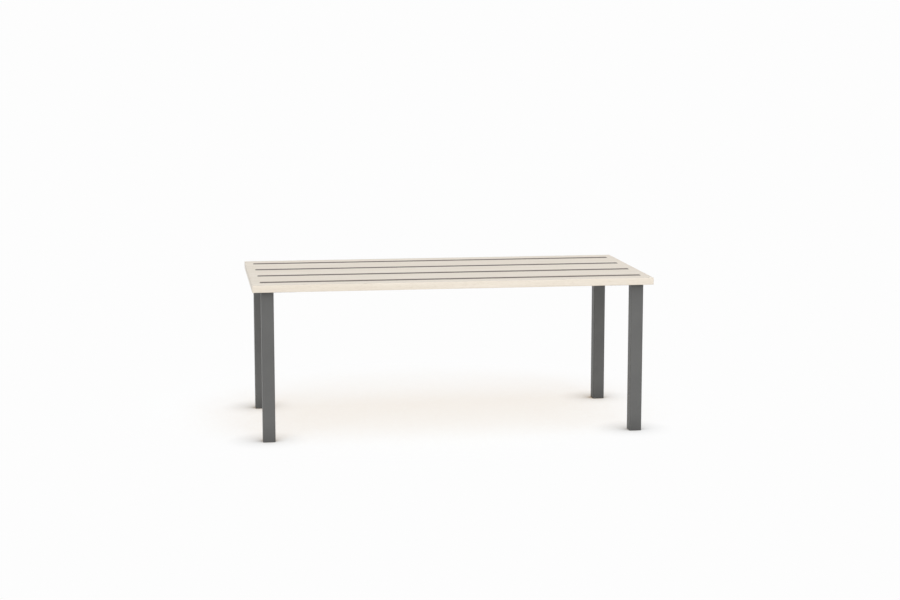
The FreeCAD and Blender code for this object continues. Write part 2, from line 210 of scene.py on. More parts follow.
# %% Colours and rates of the maple print
MAPLE_LIGHT = (0.870, 0.795, 0.690, 1)
MAPLE_DARK = (0.765, 0.680, 0.568, 1)
MAPLE_FLECK = (0.600, 0.510, 0.395, 1)
MAPLE_SPAN = (0.34, 0.66)
MAPLE_ROUGH = (0.38, 0.46)
GROWTH_RATES = (1.3, 34)  # changes a metre along the grain, and across it
FIBRE_RATES = (9, 700)
FLECK_RATES = (80, 1300)
FLECK_SPAN = (0.60, 0.74)
FLECK_STRENGTH = 0.40
GROWTH_SHARE = 0.65
GRAIN_DEPTH = 0.03 * MM
GLUE = (0.520, 0.430, 0.320, 1)
GLUE_WIDTH = 0.12 * MM
ALONG = {"x": (1, 0, 0), "y": (0, 1, 0)}


def grain_scale(along, rates):
    """Rates along X, Y and Z: the first along the grain, and the second on the other axes."""
    lengthwise = np.array(ALONG[along])
    long_rate, cross_rate = rates
    return tuple(float(rate) for rate in lengthwise * long_rate + (1 - lengthwise) * cross_rate)


print("growth rates of a sheet along x:", grain_scale("x", GROWTH_RATES))

# %% The laminate and the edge bands
def maple(name, along, joint=None):
    """Maple-look print with its grain along x or y: a weighted sum of growth lines and fibres
    chooses the tone, and flecks darken it in places. For a band, the joint is the distance from
    the bench's middle at which it is glued on, square to the grain."""
    finish, tree, shader, place = start_finish(name)
    growth = noise(
        tree, place, grain_scale(along, GROWTH_RATES), detail=4, roughness=0.6, distortion=0.35
    )
    fibres = noise(tree, place, grain_scale(along, FIBRE_RATES), detail=2, roughness=0.6)
    flecks = noise(tree, place, grain_scale(along, FLECK_RATES), detail=1, roughness=0.4)
    figure = weighted(tree, growth, fibres, GROWTH_SHARE)
    wood = two_tones(tree, figure, MAPLE_SPAN, MAPLE_DARK, MAPLE_LIGHT)
    spots = remap(tree, flecks, *FLECK_SPAN, 0.0, FLECK_STRENGTH)
    printed = blend_colours(tree, spots, wood, MAPLE_FLECK)
    if joint is not None:
        axes = add_node(tree, "ShaderNodeSeparateXYZ", {0: place}).outputs
        out = math_node(tree, "ABSOLUTE", axes["Y" if along == "x" else "X"])
        glued = math_node(tree, "LESS_THAN", out, joint + GLUE_WIDTH)
        printed = blend_colours(tree, glued, printed, GLUE)
    tree.links.new(printed, shader.inputs["Base Color"])
    vary_roughness(tree, shader, fibres, NOISE_SPAN, MAPLE_ROUGH)
    raise_surface(tree, shader, fibres, GRAIN_DEPTH, strength=0.5)
    return finish


# The low corner of the back and the right band's box lies on the joint.
back_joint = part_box("edge_band_back")[0].y
right_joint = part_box("edge_band_right")[0].x
laminate_finish = maple("maple_laminate", "x")
band_finish_long = maple("maple_band_long", "x", back_joint)
band_finish_short = maple("maple_band_short", "y", right_joint)
print("laminate finish:", len(laminate_finish.node_tree.nodes), "nodes")

# %% [markdown]
# ## Backing and core
#
# The underside has a plain balancing sheet, matt and faintly mottled, as paper is. The core is
# particle board. It shows only in the hair-thin gaps beside the strips, but it still gets its
# chips. Noise suits the paper, because it has no edges. Chips have edges, so a Voronoi pattern
# makes them: small cells, each of one wood tone.

# %% The backing sheet
PAPER_DARK = (0.60, 0.55, 0.46, 1)
PAPER_PALE = (0.67, 0.62, 0.53, 1)
PAPER_ROUGH = (0.62, 0.75)
PAPER_RELIEF = 0.04 * MM
MOTTLE_RATES = (9, 9, 9)
PULP = (0.50, 0.45, 0.37, 1)
PULP_RATES = (900, 500, 900)
PULP_SPAN = (0.5, 0.8)
PULP_STRENGTH = 0.3


def backing_sheet():
    """Paper: a slow mottle of two tones, with darker pulp where a fine noise is high."""
    finish, tree, shader, place = start_finish("backing_sheet")
    mottle = noise(tree, place, MOTTLE_RATES, detail=4, roughness=0.6)
    pulp = noise(tree, place, PULP_RATES, detail=2, roughness=0.6)
    tone = two_tones(tree, mottle, TONE_SPAN, PAPER_DARK, PAPER_PALE)
    spots = remap(tree, pulp, *PULP_SPAN, 0.0, PULP_STRENGTH)
    tree.links.new(blend_colours(tree, spots, tone, PULP), shader.inputs["Base Color"])
    vary_roughness(tree, shader, pulp, NOISE_SPAN, PAPER_ROUGH)
    raise_surface(tree, shader, pulp, PAPER_RELIEF, strength=0.6)
    return finish


backing_finish = backing_sheet()
print("backing:", len(backing_finish.node_tree.nodes), "nodes")

# %% The core
CHIP_DARK = (0.42, 0.29, 0.16, 1)
CHIP_PALE = (0.68, 0.52, 0.33, 1)
CHIP_RATES = (260, 420, 700)
CHIP_ROUGHNESS = 0.85
CHIP_RELIEF = 0.2 * MM


def particle_board():
    """Wood chips: a cell's own random number chooses its tone, and its rim stands proud."""
    finish, tree, shader, place = start_finish("particle_board")
    inputs = {"Vector": stretched(tree, place, CHIP_RATES), "Scale": 1.0}
    chips = add_node(tree, "ShaderNodeTexVoronoi", inputs)
    tone = add_node(tree, "ShaderNodeSeparateColor", {"Color": chips.outputs["Color"]})
    wood = blend_colours(tree, tone.outputs[0], CHIP_DARK, CHIP_PALE)
    tree.links.new(wood, shader.inputs["Base Color"])
    shader.inputs["Roughness"].default_value = CHIP_ROUGHNESS
    raise_surface(tree, shader, chips.outputs["Distance"], CHIP_RELIEF, strength=0.6)
    return finish


core_finish = particle_board()
print("core:", len(core_finish.node_tree.nodes), "nodes")

# %% [markdown]
# ## Powder coat
#
# Powder coat is plastic melted on to the steel. It keeps a fine, sandy orange peel, which two
# noises give as bump. Shade is painted into its colour where a leg meets the board and the
# floor. It could be painted on by hand. The Ambient Occlusion node finds such places by itself:
# it is 1 on an open face and about a half in a corner.

# %% The legs' dark grey coat
COAT_GREY = (0.102, 0.102, 0.099, 1)
COAT_PALE = (0.127, 0.127, 0.123, 1)
COAT_SHINE = 0.45
COAT_ROUGH = (0.46, 0.56)
COAT_RELIEF = 0.05 * MM
PEEL_RATES = (900, 900, 900)
SAND_RATES = (3200, 3200, 3200)
CLOUD_RATES = (14, 14, 14)
PEEL_SHARE = 0.6
SAND_SHARE = 0.6
# painted shade: how far the Ambient Occlusion node looks, and the colour's factor in a full corner
PAINTED_SHADE_REACH = 60 * MM
PAINTED_CORNER_SHADE = 0.66
CORNER_OPENNESS = 0.5


def powder_coat():
    """Grey whose tone is a weighted sum of sand and cloud, times a painted shade that darkens it in
    corners, and whose height is a weighted sum of peel and sand."""
    finish, tree, shader, place = start_finish("powder_coat")
    peel = noise(tree, place, PEEL_RATES, detail=2, roughness=0.5)
    sand = noise(tree, place, SAND_RATES, detail=1, roughness=0.5)
    cloud = noise(tree, place, CLOUD_RATES, detail=3, roughness=0.5)
    speckle = weighted(tree, sand, cloud, SAND_SHARE)
    grey = two_tones(tree, speckle, TONE_SPAN, COAT_GREY, COAT_PALE)
    # painted shade: the colour darkens in corners, under the board and by the floor
    near = add_node(tree, "ShaderNodeAmbientOcclusion", {"Distance": PAINTED_SHADE_REACH})
    painted_shade = remap(tree, near.outputs["AO"], CORNER_OPENNESS, 1.0, PAINTED_CORNER_SHADE, 1.0)
    tree.links.new(vector_node(tree, "MULTIPLY", grey, painted_shade), shader.inputs["Base Color"])
    vary_roughness(tree, shader, sand, NOISE_SPAN, COAT_ROUGH)
    shader.inputs["Specular IOR Level"].default_value = COAT_SHINE
    height = weighted(tree, peel, sand, PEEL_SHARE)
    raise_surface(tree, shader, height, COAT_RELIEF, strength=0.7)
    return finish


coat_finish = powder_coat()
print("powder coat:", len(coat_finish.node_tree.nodes), "nodes")

# %% [markdown]
# ## Coat of the strips
#
# The strips have a warmer grey and a smoother film. Cases slide over them and leave long fine
# scuffs, paler and a little glossier than the film. Each scuff could be a curve of its own. A
# noise that is hundreds of times longer than it is wide gives them all at once.

# %% The strips' coat
STRIP_GREY = (0.112, 0.088, 0.074, 1)
STRIP_PALE = (0.175, 0.148, 0.132, 1)
STRIP_SHINE = 0.25
STRIP_ROUGH = (0.66, 0.52)
STRIP_RELIEF = 0.02 * MM
FILM_RATES = (1800, 1800, 1800)
SCUFF_RATES = (6, 2400, 2400)
SCUFF_SPAN = (0.54, 0.70)
SCUFF_GLOSS_SPAN = (0.30, 0.75)


def strip_coat():
    """Grey that turns pale where the scuffs' noise is high, with the same noise for gloss."""
    finish, tree, shader, place = start_finish("strip_coat")
    film = noise(tree, place, FILM_RATES, detail=1, roughness=0.5)
    scuffs = noise(tree, place, SCUFF_RATES, detail=2, roughness=0.7)
    grey = two_tones(tree, scuffs, SCUFF_SPAN, STRIP_GREY, STRIP_PALE)
    tree.links.new(grey, shader.inputs["Base Color"])
    vary_roughness(tree, shader, scuffs, SCUFF_GLOSS_SPAN, STRIP_ROUGH)
    shader.inputs["Specular IOR Level"].default_value = STRIP_SHINE
    raise_surface(tree, shader, film, STRIP_RELIEF, strength=0.6)
    return finish


strip_finish = strip_coat()
print("strip coat:", len(strip_finish.node_tree.nodes), "nodes")

# %% [markdown]
# ## Plastic and zinc
#
# The glides are moulded in a spark-eroded mould, which leaves a fine even grain. The screws are
# zinc plated: a metal with a cloudy bloom, and drawn lines along the wire that they were made
# from. Both could be one flat colour at this size. The noises cost little, and they hold up when
# someone looks under the bench.

# %% The glides' plastic
PLASTIC_DARK = (0.066, 0.066, 0.065, 1)
PLASTIC_PALE = (0.084, 0.084, 0.082, 1)
PLASTIC_ROUGH = (0.48, 0.62)
PLASTIC_RELIEF = 0.03 * MM
SPARK_RATES = (2600, 2600, 2600)
FLOW_RATES = (60, 60, 60)


def moulded_plastic():
    """Two close greys that follow the plastic's flow, under an even fine grain."""
    finish, tree, shader, place = start_finish("moulded_plastic")
    spark = noise(tree, place, SPARK_RATES, detail=2, roughness=0.6)
    flow = noise(tree, place, FLOW_RATES, detail=2, roughness=0.5)
    grey = two_tones(tree, flow, TONE_SPAN, PLASTIC_DARK, PLASTIC_PALE)
    tree.links.new(grey, shader.inputs["Base Color"])
    vary_roughness(tree, shader, spark, NOISE_SPAN, PLASTIC_ROUGH)
    raise_surface(tree, shader, spark, PLASTIC_RELIEF, strength=0.6)
    return finish


plastic_finish = moulded_plastic()
print("plastic:", len(plastic_finish.node_tree.nodes), "nodes")

# %% The screws' zinc
ZINC_DULL = (0.56, 0.56, 0.55, 1)
ZINC_BRIGHT = (0.70, 0.71, 0.72, 1)
ZINC_ROUGH = (0.26, 0.44)
ZINC_RELIEF = 0.01 * MM
BLOOM_RATES = (420, 420, 420)
DRAWN_RATES = (1500, 1500, 300)


def zinc_plate():
    """Metal with a cloudy bloom in its colour, and drawn lines in its gloss and height."""
    finish, tree, shader, place = start_finish("zinc_plate")
    bloom = noise(tree, place, BLOOM_RATES, detail=3, roughness=0.6)
    drawn = noise(tree, place, DRAWN_RATES, detail=2, roughness=0.6)
    metal = two_tones(tree, bloom, TONE_SPAN, ZINC_DULL, ZINC_BRIGHT)
    tree.links.new(metal, shader.inputs["Base Color"])
    shader.inputs["Metallic"].default_value = 1.0
    vary_roughness(tree, shader, drawn, NOISE_SPAN, ZINC_ROUGH)
    raise_surface(tree, shader, drawn, ZINC_RELIEF, strength=0.5)
    return finish


zinc_finish = zinc_plate()
print("zinc:", len(zinc_finish.node_tree.nodes), "nodes")

# %% [markdown]
# ## Dress the CAD pieces that are already right
#
# Flat sheets, tubes and plates need no new shape. They could be made again here, but a second
# model of the same piece only risks being a little different. So each keeps its CAD mesh and
# gets a finish in its material slot.

# %% Give the CAD pieces their finishes
CORNERS = ("front_left", "front_right", "back_right", "back_left")


def dress(node, finish):
    """Puts the finish into the first material slot of a CAD node's object."""
    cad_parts[node].material_slots[0].material = finish


DRESSED = {
    "top_laminate": laminate_finish,
    "backing_laminate": backing_finish,
    "panel_core": core_finish,
}
for corner in CORNERS:
    DRESSED[f"leg_tube_{corner}"] = coat_finish
    DRESSED[f"leg_plate_{corner}"] = coat_finish
for node, finish in DRESSED.items():
    dress(node, finish)
print("dressed:", len(DRESSED), "CAD pieces")

# %% [markdown]
# ## Surfaces from grids
#
# Blender's own cubes and cylinders could start some of the new pieces. Here all of them are made
# in one way, so that every edge has a formula: a grid of points, whose rows follow a profile and
# whose columns go round the piece. The faces join each point to its neighbours. Where a row
# shrinks to one point the surface is closed by merging the points, and where it ends in a ring
# the ring is filled with one flat face.

# %% Helpers for grids
def grid_faces(rows, columns):
    """Four-sided faces of a grid stored row by row, whose last column joins its first. A point's
    number is its row times the columns, plus its column."""
    row = np.arange(rows - 1)[:, None] * columns
    column = np.arange(columns)
    ahead = (column + 1) % columns
    corners = (row + column, row + ahead, row + columns + ahead, row + columns + column)
    return np.stack(corners, axis=-1).reshape(-1, 4)


def grid_shell(points):
    """A closed shell from a grid (rows, columns, 3): its points, its faces and its two caps,
    which are the whole first row and the whole last one."""
    rows, columns = points.shape[:2]
    caps = np.arange(columns) + np.array([[0], [(rows - 1) * columns]])
    return points.reshape(-1, 3), grid_faces(rows, columns), caps


def join_shells(shells):
    """Several shells as one array of points and one list of faces. The numbers in a shell's
    faces go up by the count of all the points before it."""
    points = np.concatenate([shell[0] for shell in shells])
    counts = [len(shell[0]) for shell in shells]
    starts = np.cumsum([0] + counts)
    faces = []
    for start, (_, sides, caps) in zip(starts, shells):
        faces += (sides + start).tolist() + (caps + start).tolist()
    return points, faces


print("3 rows of 4 points make", len(grid_faces(3, 4)), "faces")

# %% A helper for whole pieces
SHARP = math.radians(35)
FLAT_SIDES = 5  # a face with this many corners or more is a cap
MERGE_WITHIN = 0.0005 * MM


def make_piece(name, shells, finish, node):
    """A finished piece that stands for a CAD node and rides with the bench. Faces with few
    corners are shaded smooth, and caps flat. An edge that turns by more than SHARP stays sharp."""
    points, faces = join_shells(shells)
    mesh = bpy.data.meshes.new(name)
    mesh.from_pydata(points, [], faces)
    work = bmesh.new()
    work.from_mesh(mesh)
    bmesh.ops.remove_doubles(work, verts=work.verts, dist=MERGE_WITHIN)
    bmesh.ops.recalc_face_normals(work, faces=work.faces)
    work.to_mesh(mesh)
    work.free()
    sides = np.empty(len(mesh.polygons), np.int32)
    mesh.polygons.foreach_get("loop_total", sides)
    mesh.polygons.foreach_set("use_smooth", sides < FLAT_SIDES)
    mesh.set_sharp_from_angle(angle=SHARP)
    mesh.materials.append(finish)
    piece = bpy.data.objects.new(name, mesh)
    bpy.context.scene.collection.objects.link(piece)
    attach(piece, BODY)
    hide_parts(node)
    return piece


def box_of(node):
    """A CAD node's lowest and highest corners, as arrays."""
    return tuple(np.array(corner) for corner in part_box(node))


print("edges stay sharp above, degrees:", round(math.degrees(SHARP)))

# %% A rectangle with rounded corners
QUARTER = math.pi / 2
CORNER_STEPS = 8
SMALLEST_BEND = 0.1 * MM


def rounded_outline(half_x, half_y, radius):
    """Anticlockwise points of a rounded rectangle about 0: each corner is a quarter circle
    whose centre lies the radius in from both sides."""
    corner = np.repeat(np.arange(4), CORNER_STEPS + 1)
    angle = (corner + np.tile(np.linspace(0, 1, CORNER_STEPS + 1), 4)) * QUARTER
    side_x = np.array([1, -1, -1, 1])[corner]
    side_y = np.array([1, 1, -1, -1])[corner]
    x = side_x * (half_x - radius) + radius * np.cos(angle)
    y = side_y * (half_y - radius) + radius * np.sin(angle)
    return np.stack([x, y], axis=-1)


def stack_outlines(middle, half_x, half_y, radius, insets, heights):
    """Rows of a grid: at each height a rounded rectangle that is smaller by an inset all round,
    with corners that bend by as much less."""
    rings = []
    for inset, height in zip(insets, heights):
        bend = max(radius - inset, SMALLEST_BEND)
        ring = rounded_outline(half_x - inset, half_y - inset, bend) + middle
        rings.append(np.column_stack([ring, np.full(len(ring), height)]))
    return np.array(rings)


print("points in an outline:", len(rounded_outline(2, 1, 0.5)))

# %% [markdown]
# ## Luggage strips
#
# The strips take the scratches of suitcases, so that the laminate doesn't. Each is a flat steel
# bar, glued into a groove, with eased top edges. A Bevel modifier would ease the bottom edges as
# well, or need its edges chosen by hand. A profile eases the top alone: it is a quarter circle,
# so the outline shrinks by 1 - cos and rises by sin as the circle is followed.

# %% Make the four strips
STRIP_COUNT = 4
STRIP_CORNER = 4 * MM
STRIP_EASE = 0.5 * MM
EASE_STEPS = 5


def eased_top(bottom, top, ease):
    """Insets and heights up a side and over its eased top edge."""
    angle = np.linspace(0, QUARTER, EASE_STEPS + 1)
    insets = np.concatenate([[0], ease * (1 - np.cos(angle))])
    heights = np.concatenate([[bottom], top - ease * (1 - np.sin(angle))])
    return insets, heights


def luggage_strip(number):
    """A bar of round-cornered outlines, from the groove's floor up over the eased top edge."""
    node = f"luggage_strip_{number}"
    low, high = box_of(node)
    middle = (low + high)[:2] / 2
    half = (high - low) / 2
    insets, heights = eased_top(low[2], high[2], STRIP_EASE)
    rings = stack_outlines(middle, half[0], half[1], STRIP_CORNER, insets, heights)
    return make_piece(f"strip_bar_{number}", [grid_shell(rings)], strip_finish, node)


for number in range(1, STRIP_COUNT + 1):
    strip = luggage_strip(number)
    print(strip.name, len(strip.data.polygons), "faces, width, mm:",
          round(strip.dimensions.y / MM, 1))

# %% [markdown]
# ## Edge bands
#
# A band is a thin strip of plastic glued to each side of the board, to hide the core. Its outer
# edges are rounded so that nobody's shin meets a sharp one. From above, the front and back bands
# also turn a rounded corner at each end. A bevel would round the glued edges too, and open a gap
# at the joint. Here, at the bottom and the top, the outer side alone draws in along a quarter
# circle, which leaves a ball-shaped corner where two rounded edges meet.

# %% Make the edge bands
BAND_ROUND = 0.8 * MM
ROUND_STEPS = 5


def band_ring(half_length, width, end_round, shrink):
    """Outline of a band from above, along u and outward along v: two square corners inside and
    two quarter ellipses outside, whose radii shrink towards their centres."""
    angle = np.linspace(0, QUARTER, ROUND_STEPS + 1)
    u = half_length - end_round + end_round * shrink * np.cos(angle)
    v = width - BAND_ROUND + BAND_ROUND * shrink * np.sin(angle)
    inner = half_length - end_round + end_round * shrink
    outline_u = np.concatenate([[inner], u, -u[::-1], [-inner]])
    outline_v = np.concatenate([[0], v, v[::-1], [0]])
    return outline_u, outline_v


def edge_band(side, outward, end_round, finish):
    """A stack of band outlines. Outward is the band's direction from the board's middle. Over
    the quarter circle an outline shrinks to the sine of the angle, and rises by 1 - cos."""
    node = f"edge_band_{side}"
    low, high = box_of(node)
    out = np.array(outward, float)
    along = np.array([-out[1], out[0]])
    middle = (low + high)[:2] / 2
    half = (high - low)[:2] / 2
    width = 2 * abs(half @ out)
    inner_middle = middle - out * width / 2
    bend = np.linspace(0, QUARTER, ROUND_STEPS + 1)
    shrink = np.concatenate([np.sin(bend), np.sin(bend)[::-1]])
    rise = BAND_ROUND * (1 - np.cos(bend))
    heights = np.concatenate([low[2] + rise, high[2] - rise[::-1]])
    rings = []
    for part, height in zip(shrink, heights):
        u, v = band_ring(abs(half @ along), width, end_round, part)
        flat = inner_middle + u[:, None] * along + v[:, None] * out
        rings.append(np.column_stack([flat, np.full(len(u), height)]))
    return make_piece(f"band_{side}", [grid_shell(np.array(rings))], finish, node)


BANDS = {
    "front": ((0, -1), BAND_ROUND, band_finish_long),
    "back": ((0, 1), BAND_ROUND, band_finish_long),
    "left": ((-1, 0), 0.0, band_finish_short),
    "right": ((1, 0), 0.0, band_finish_short),
}
for side, (outward, end_round, finish) in BANDS.items():
    band = edge_band(side, outward, end_round, finish)
    print(band.name, [round(size / MM, 1) for size in band.dimensions])

# %% [markdown]
# ## Leg glides
#
# A glide closes the tube at the floor. Its sole carries the leg, and the fins of its plug grip
# the tube's inside. It could be cut from a block with booleans. A square lathe shape is simpler:
# one rounded square whose size and height follow a profile, up over the sole's round edge, in
# to the plug, out and in at each gripping fin, over the mouth and down inside.

# %% Make the glides
SOLE_ROUND = 1.0 * MM
FLANGE = 3 * MM
TUBE_WALL = 2 * MM
TUBE_CORNER = 2 * MM
FIN_GAP = 0.1 * MM
FIN_REACH = 2 * MM
FIN_PITCH = 6 * MM
FIN_THICKNESS = 1.2 * MM
FIN_COUNT = 3
PLUG_WALL = 2.5 * MM


def glide_profile(top):
    """Insets from the tube's outside, and heights, along the glide's whole profile."""
    angle = np.linspace(0, QUARTER, EASE_STEPS + 1)
    fin = TUBE_WALL + FIN_GAP
    plug = fin + FIN_REACH
    insets = list(SOLE_ROUND * (1 - np.sin(angle)))
    heights = list(SOLE_ROUND * (1 - np.cos(angle)))
    insets += [0, plug]
    heights += [FLANGE, FLANGE]
    for number in range(1, FIN_COUNT + 1):
        fin_top = FLANGE + number * FIN_PITCH
        fin_bottom = fin_top - FIN_THICKNESS
        insets += [plug, fin, fin, plug]
        heights += [fin_bottom, fin_bottom, fin_top, fin_top]
    insets += [plug, plug + PLUG_WALL, plug + PLUG_WALL]
    heights += [top, top, FLANGE]
    return insets, heights


def leg_glide(corner):
    """The glide's profile carried round a rounded square as wide as the tube."""
    node = f"leg_glide_{corner}"
    low, high = box_of(node)
    middle = (low + high)[:2] / 2
    half = (high - low)[0] / 2
    rings = stack_outlines(middle, half, half, TUBE_CORNER, *glide_profile(high[2]))
    return make_piece(f"glide_{corner}", [grid_shell(rings)], plastic_finish, node)


for corner in CORNERS:
    glide = leg_glide(corner)
print("glide, mm:", [round(size / MM, 1) for size in glide.dimensions])

# %% [markdown]
# ## One corner, four times
#
# Every corner of the bench has the same welds and screws. They could be mirrored from one corner
# to the next, but a mirror turns faces inside out and makes a left-hand thread. A quarter turn
# does neither. So welds and screws are worked out once, in a frame that starts at a tube's outer
# corner and points into the bench, and the frame turns by a quarter for each corner.

# %% Carry a shape to a corner of the bench
def to_corner(points, corner):
    """Turns points from the corner's own frame, and moves them to the tube's outer corner."""
    low, high = box_of(f"leg_tube_{corner}")
    side = np.array([1 if corner.endswith("right") else -1, 1 if corner.startswith("back") else -1])
    outer = np.where(side > 0, high[:2], low[:2])
    turn = CORNERS.index(corner) * QUARTER
    across = np.array([[math.cos(turn), -math.sin(turn)], [math.sin(turn), math.cos(turn)]])
    moved = points.copy()
    moved[..., :2] = points[..., :2] @ across.T + outer
    return moved


tube_low, tube_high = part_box("leg_tube_front_left")
plate_low, plate_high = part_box("leg_plate_front_left")
weld_low, weld_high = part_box("leg_weld_front_left")
TUBE_SIZE = tube_high.x - tube_low.x
PLATE_SIZE = plate_high.x - plate_low.x
PLATE_BOTTOM = plate_low.z
print("tube and plate, mm:", round(TUBE_SIZE / MM, 1), round(PLATE_SIZE / MM, 1))

# %% [markdown]
# ## Weld beads
#
# A weld bead runs round the inner corner of each tube, where it meets its plate. Its section
# lies between a flat slope and a quarter circle. The welder's small steps leave ripples like a
# row of coins. Bump could draw them, but the bead's outline would stay smooth. So they are part
# of the shape: the bead's size pulses along its path, a little later in the middle.

# %% The path of a weld
WELD_SIZE = weld_high.z - weld_low.z
WELD_START = weld_low.x - tube_low.x
PATH_STEP = 0.2 * MM
TURN_POINTS = 24


def weld_path():
    """Points round the tube's inner corner, their outward directions and the length so far."""
    reach = TUBE_SIZE - TUBE_CORNER
    straight = np.arange(WELD_START, reach, PATH_STEP)
    angle = np.linspace(0, QUARTER, TURN_POINTS)
    turn = np.column_stack([np.cos(angle), np.sin(angle)])
    up = np.column_stack([np.full(len(straight), TUBE_SIZE), straight])
    points = np.concatenate([up, reach + TUBE_CORNER * turn, up[::-1, ::-1]])
    outward = np.concatenate([np.tile([1, 0], (len(up), 1)), turn, np.tile([0, 1], (len(up), 1))])
    steps = np.linalg.norm(np.diff(points, axis=0), axis=1)
    return points, outward, np.concatenate([[0], np.cumsum(steps)])


weld_run = weld_path()[-1]
print("weld's length, mm:", round(weld_run[-1] / MM, 1))

# %% Make the weld beads
RIPPLE_PITCH = 1.6 * MM
RIPPLE_DEPTH = 0.10
RIPPLE_LAG = 0.35
BEAD_POWER = 1.3
SECTION_STEPS = 9


def weld_bead():
    """Grid of the bead: a station along the path, and a place round the section. Out and down,
    a point lies at the bead's size times a power of the cosine and of the sine of its angle. The
    size dips by a half sine in each ripple, and closes at both ends as a circle does."""
    points, outward, run = weld_path()
    angle = np.linspace(0, QUARTER, SECTION_STEPS)
    wave = run[:, None] / RIPPLE_PITCH - RIPPLE_LAG * np.sin(2 * angle)
    ripple = 1 - RIPPLE_DEPTH * np.abs(np.sin(math.pi * wave))
    from_end = np.minimum(run, run[-1] - run) / WELD_SIZE
    closing = np.sqrt(np.clip(1 - (1 - np.clip(from_end, 0, 1)) ** 2, 0, 1))
    size = WELD_SIZE * ripple * closing[:, None]
    out = size * np.cos(angle) ** BEAD_POWER
    down = size * np.sin(angle) ** BEAD_POWER
    out = np.column_stack([np.zeros(len(run)), out])
    down = np.column_stack([np.zeros(len(run)), down])
    flat = points[:, None, :] + out[..., None] * outward[:, None, :]
    return np.concatenate([flat, (PLATE_BOTTOM - down)[..., None]], axis=-1)


for corner in CORNERS:
    shell = grid_shell(to_corner(weld_bead(), corner))
    weld = make_piece(f"weld_{corner}", [shell], coat_finish, f"leg_weld_{corner}")
print("weld bead:", len(weld.data.polygons), "faces")

# %% [markdown]
# ## Board screws
#
# Three hexagon-head screws hold each plate to the board. The head is a hexagon whose corners are
# turned off by a shallow cone, which leaves the curved lines of a real bolt head. A Screw
# modifier could wind the thread, as a second mesh that has to be joined to the shank. Here the
# shank itself rises into a ridge: its height depends on how far a point is from the winding,
# counted in turns, so the thread can also fade out at both ends.

# %% Sizes of a screw
HOLE_EDGE = 15 * MM  # from the plate's far sides
HOLE_SETBACK = 32 * MM  # from its near sides, which are flush with the tube
SHANK_RADIUS = 2.5 * MM
ROOT_RADIUS = 1.9 * MM
SCREW_LENGTH = 16 * MM
HEAD_FLATS = 8 * MM
HEAD_HEIGHT = 3.5 * MM
HEAD_FACE = 0.47 * HEAD_FLATS  # radius of the flat end, inside the turned-off corners
HEAD_SLOPE = math.tan(math.radians(30))
THREAD_PITCH = 1.9 * MM
THREAD_START = 3.5 * MM
RIDGE_STEEPNESS = 2.6
SCREW_SIDES = 48
THREAD_ROWS = 76


def hexagon(angle):
    """Distance from the middle to a hexagon's side, in a direction: half its width across flats,
    divided by the cosine of the angle from the middle of that side."""
    sixth = math.pi / 3
    return HEAD_FLATS / 2 / np.cos((angle + sixth / 2) % sixth - sixth / 2)


print("head across corners, mm:", round(2 * hexagon(math.pi / 6) / MM, 2))

# %% Make the screws
def board_screw():
    """Grid of a screw on its axis, its seat at z = 0: a place along the profile, and a direction.
    The ridge falls from 1 by its steepness times the distance from the winding, in turns. It is
    full between its two ends, and the shank is plain below the thread."""
    angle = np.arange(SCREW_SIDES) * 2 * math.pi / SCREW_SIDES
    edge = hexagon(angle)
    whole = np.ones(SCREW_SIDES)
    radii = [0 * whole, HEAD_FACE * whole, edge, edge]
    heights = [-HEAD_HEIGHT * whole, -HEAD_HEIGHT * whole,
               (edge - HEAD_FACE) * HEAD_SLOPE - HEAD_HEIGHT, 0 * whole]
    height = np.linspace(0, SCREW_LENGTH, THREAD_ROWS)[:, None]
    turns = height / THREAD_PITCH - angle / (2 * math.pi)
    ridge = np.clip(1 - RIDGE_STEEPNESS * np.abs(turns % 1 - 0.5), 0, 1)
    growing = np.clip((height - THREAD_START) / THREAD_PITCH, 0, 1)
    ending = np.clip((SCREW_LENGTH - height) / THREAD_PITCH, 0, 1)
    plain = np.clip((THREAD_START - height) / THREAD_PITCH, 0, 1)
    rise = np.maximum(ridge * growing * ending, plain)
    radius = ROOT_RADIUS + (SHANK_RADIUS - ROOT_RADIUS) * rise
    radii = np.concatenate([radii, radius, [0 * whole]])
    heights = np.concatenate([heights, height * whole, [SCREW_LENGTH * whole]])
    return np.stack([radii * np.cos(angle), radii * np.sin(angle), heights], axis=-1)


FAR_HOLE = PLATE_SIZE - HOLE_EDGE
HOLES = np.array([[FAR_HOLE, HOLE_SETBACK], [HOLE_SETBACK, FAR_HOLE], [FAR_HOLE, FAR_HOLE]])
for corner in CORNERS:
    shells = []
    for hole in HOLES:
        points = board_screw() + np.array([*hole, PLATE_BOTTOM])
        shells.append(grid_shell(to_corner(points, corner)))
    screws = make_piece(f"screws_{corner}", shells, zinc_finish, f"leg_screws_{corner}")
print("screws at a corner:", len(screws.data.polygons), "faces")

# %% [markdown]
# ## Floor
#
# The floor is a wide pale sheet. A lit one would need too much light to look white, and a
# glowing one would show no shadow, so it is both. To light that is on its way to the bench it is
# plain matt white. The camera and reflections see its own white glow. Near the bench, a share of
# the light that falls on it takes the place of some of the glow, so the bench leaves its soft
# shadow.
#
# The Ambient Occlusion node adds the dark ring that a real floor has where a foot meets it. Its
# Normal leans to the front and a little to the right, which pushes the ring to the far side of
# the foot, away from the light. The node reads that input only from a link, so a Combine XYZ
# node carries it.
#
# Both shades end a little way from the bench, so the floor meets a white world without a seam.
# From below the sheet is clear, which leaves the plates and screws under the board open to view.

# %% Helpers for what the camera sees
def looked_at(tree):
    """1 for rays from the camera and for reflections, 0 for light on its way to the bench."""
    path = tree.nodes.new("ShaderNodeLightPath").outputs
    straight = math_node(tree, "MAXIMUM", path["Is Camera Ray"], path["Is Glossy Ray"])
    return math_node(tree, "MAXIMUM", straight, path["Is Transmission Ray"])


